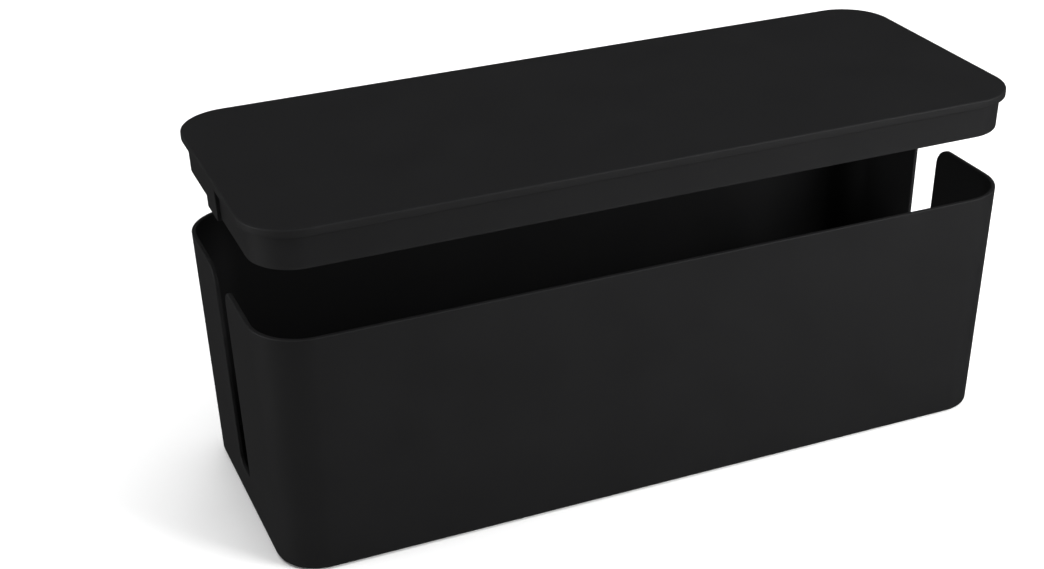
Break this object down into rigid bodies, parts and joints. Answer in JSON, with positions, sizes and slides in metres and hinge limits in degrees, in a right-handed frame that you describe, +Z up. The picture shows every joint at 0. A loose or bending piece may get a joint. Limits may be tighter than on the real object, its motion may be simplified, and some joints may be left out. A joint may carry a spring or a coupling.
{
  "type": "cable management box",
  "caption": "Drafted open-topped plastic box with a cable slot in each end wall, a lift-off lid with a plug-in skirt, and rubber feet; it hides a power strip and its cables.",
  "frame": {"origin": "on the surface that the box stands on, under its middle", "axes": "+X along the length, -Y is the front, +Z is up"},
  "size_m": [0.4, 0.154, 0.1828],
  "materials": {
    "black_plastic": "black moulded plastic with a fine spark-eroded grain, satin to matte",
    "foot_rubber": "matte black anti-slip rubber"
  },
  "bodies": {
    "tub": {"tub": "black_plastic", "foot_front_left": "foot_rubber", "foot_front_right": "foot_rubber", "foot_rear_left": "foot_rubber", "foot_rear_right": "foot_rubber"},
    "lid": {"lid": "black_plastic"}
  },
  "joints": [
    {"name": "lid_lift", "type": "slide", "parent": "tub", "child": "lid", "axis": [0, 0, 1], "range_m": [-0.05, 0.1]}
  ]
}
